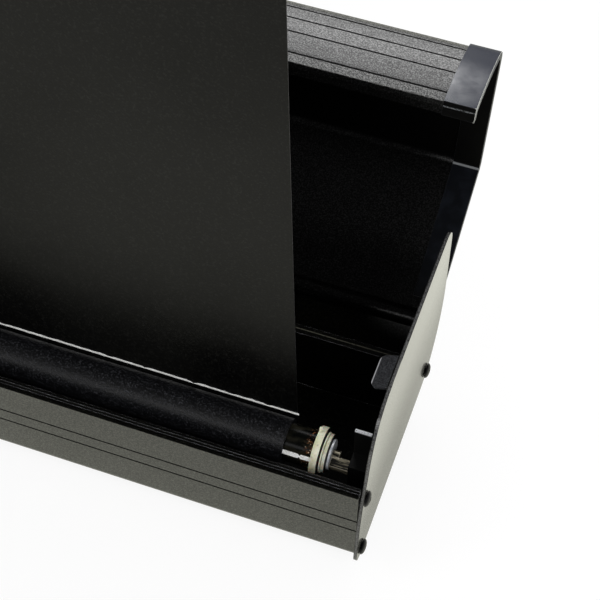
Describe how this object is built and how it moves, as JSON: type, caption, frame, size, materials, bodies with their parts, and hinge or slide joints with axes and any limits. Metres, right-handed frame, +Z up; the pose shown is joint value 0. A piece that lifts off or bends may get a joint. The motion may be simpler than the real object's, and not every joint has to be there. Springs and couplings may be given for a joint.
{
  "type": "pull-up projection screen",
  "caption": "Floor-standing pull-up projection screen: a long case with a rear-hinged lid, a sprung fabric roller, folding knee arms, a top bar and swivel feet.",
  "frame": {"origin": "on the floor under the middle of the case, at the centre of the bounding box with the lid open, the screen raised and the feet turned out", "axes": "+X along the case to the end with the visible spring plug, +Y to the back where the lid is hinged, +Z up"},
  "size_m": [1.805, 0.46, 1.4225],
  "materials": {
    "grey_powder": "fine textured dark grey powder coat on an aluminium extrusion",
    "black_satin": "satin black powder coat on sheet steel",
    "black_screw": "black oxide button-head screws",
    "black_plastic": "smooth satin black moulded plastic",
    "bright_steel": "zinc plated steel",
    "tube_steel": "gloss black steel tube with a little surface rust",
    "leader_fabric": "black coated screen fabric, with the matt white picture area above",
    "ivory_plastic": "ivory nylon",
    "arm_metal": "black anodised flat bar",
    "black_steel": "black painted steel",
    "rubber": "black rubber"
  },
  "bodies": {
    "root": {"case_trough": "grey_powder", "end_plate_right": "black_satin", "end_plate_left": "black_satin", "plate_screw_right_1": "black_screw", "plate_screw_right_2": "black_screw", "plate_screw_right_3": "black_screw", "plate_screw_left_1": "black_screw", "plate_screw_left_2": "black_screw", "plate_screw_left_3": "black_screw", "roller_bracket_right": "black_satin", "roller_bracket_left": "black_satin", "roller_tang": "bright_steel", "spring_shaft": "bright_steel", "torsion_spring": "bright_steel", "tang_collar": "ivory_plastic", "tang_washer": "bright_steel", "screen_fabric": "leader_fabric", "arm_base_right": "black_steel", "arm_base_left": "black_steel", "base_pin_right": "bright_steel", "base_pin_left": "bright_steel", "handle_mount_right": "black_plastic", "handle_mount_left": "black_plastic", "latch_base_right": "bright_steel", "latch_base_left": "bright_steel", "foot_pin_right": "bright_steel", "foot_pin_left": "bright_steel"},
    "lid": {"lid_panel": "grey_powder", "lid_end_cap_right": "black_plastic", "lid_end_cap_left": "black_plastic", "latch_keeper_right": "bright_steel", "latch_keeper_left": "bright_steel"},
    "roller": {"roller_tube": "tube_steel", "fabric_roll": "leader_fabric", "roller_plug_right": "ivory_plastic", "roller_plug_left": "ivory_plastic", "spring_anchor": "ivory_plastic"},
    "right_lower_arm": {"lower_arm_right": "arm_metal", "knee_pin_right": "bright_steel"},
    "right_upper_arm": {"upper_arm_right": "arm_metal"},
    "top_bar": {"top_bar": "grey_powder", "top_bar_cap_right": "black_plastic", "top_bar_cap_left": "black_plastic", "fabric_clamp_rod": "bright_steel", "lift_grip": "black_plastic", "top_pin_right": "bright_steel", "top_pin_left": "bright_steel"},
    "left_lower_arm": {"lower_arm_left": "arm_metal", "knee_pin_left": "bright_steel"},
    "left_upper_arm": {"upper_arm_left": "arm_metal"},
    "carry_handle": {"carry_handle": "black_steel", "handle_grip": "rubber"},
    "latch_right": {"latch_lever_right": "bright_steel"},
    "latch_left": {"latch_lever_left": "bright_steel"},
    "foot_right": {"foot_bar_right": "black_steel", "foot_pad_right_front": "rubber", "foot_pad_right_rear": "rubber"},
    "foot_left": {"foot_bar_left": "black_steel", "foot_pad_left_front": "rubber", "foot_pad_left_rear": "rubber"}
  },
  "joints": [
    {"name": "lid_hinge", "type": "hinge", "parent": "root", "child": "lid", "pos_m": [0, 0.0735, 0.0443], "axis": [1, 0, 0], "range_deg": [0, 48]},
    {"name": "roller_spin", "type": "hinge", "parent": "root", "child": "roller", "pos_m": [0, -0.0475, 0.0643], "axis": [1, 0, 0], "range_deg": [-5030, 0]},
    {"name": "right_arm_fold", "type": "hinge", "parent": "root", "child": "right_lower_arm", "pos_m": [0.75, -0.02, 0.0383], "axis": [0, 1, 0], "range_deg": [-66, 0], "deforming": ["screen_fabric"]},
    {"name": "right_knee", "type": "hinge", "parent": "right_lower_arm", "child": "right_upper_arm", "pos_m": [0.48216, -0.016, 0.70124], "axis": [0, 1, 0], "range_deg": [0, 132]},
    {"name": "top_bar_level", "type": "hinge", "parent": "right_upper_arm", "child": "top_bar", "pos_m": [0.75, -0.012, 1.36417], "axis": [0, 1, 0], "range_deg": [-66, 0]},
    {"name": "left_arm_fold", "type": "hinge", "parent": "root", "child": "left_lower_arm", "pos_m": [-0.75, -0.02, 0.0383], "axis": [0, 1, 0], "range_deg": [0, 66]},
    {"name": "left_knee", "type": "hinge", "parent": "left_lower_arm", "child": "left_upper_arm", "pos_m": [-0.48216, -0.016, 0.70124], "axis": [0, 1, 0], "range_deg": [-132, 0]},
    {"name": "carry_handle_swing", "type": "hinge", "parent": "root", "child": "carry_handle", "pos_m": [0, -0.0918, 0.0683], "axis": [-1, 0, 0], "range_deg": [0, 110]},
    {"name": "latch_right_swing", "type": "hinge", "parent": "root", "child": "latch_right", "pos_m": [0.45, -0.0878, 0.0603], "axis": [1, 0, 0], "range_deg": [0, 100]},
    {"name": "latch_left_swing", "type": "hinge", "parent": "root", "child": "latch_left", "pos_m": [-0.45, -0.0878, 0.0603], "axis": [1, 0, 0], "range_deg": [0, 100]},
    {"name": "foot_right_swivel", "type": "hinge", "parent": "root", "child": "foot_right", "pos_m": [0.55, 0, 0.0123], "axis": [0, 0, 1], "range_deg": [0, 90]},
    {"name": "foot_left_swivel", "type": "hinge", "parent": "root", "child": "foot_left", "pos_m": [-0.55, 0, 0.0123], "axis": [0, 0, -1], "range_deg": [0, 90]}
  ],
  "couplings": [
    {"joint": "right_knee", "follows": "right_arm_fold", "ratio": -2},
    {"joint": "top_bar_level", "follows": "right_arm_fold", "ratio": 1},
    {"joint": "left_arm_fold", "follows": "right_arm_fold", "ratio": -1},
    {"joint": "left_knee", "follows": "right_arm_fold", "ratio": 2},
    {"joint": "roller_spin", "follows": "right_arm_fold", "ratio": 76.1}
  ]
}
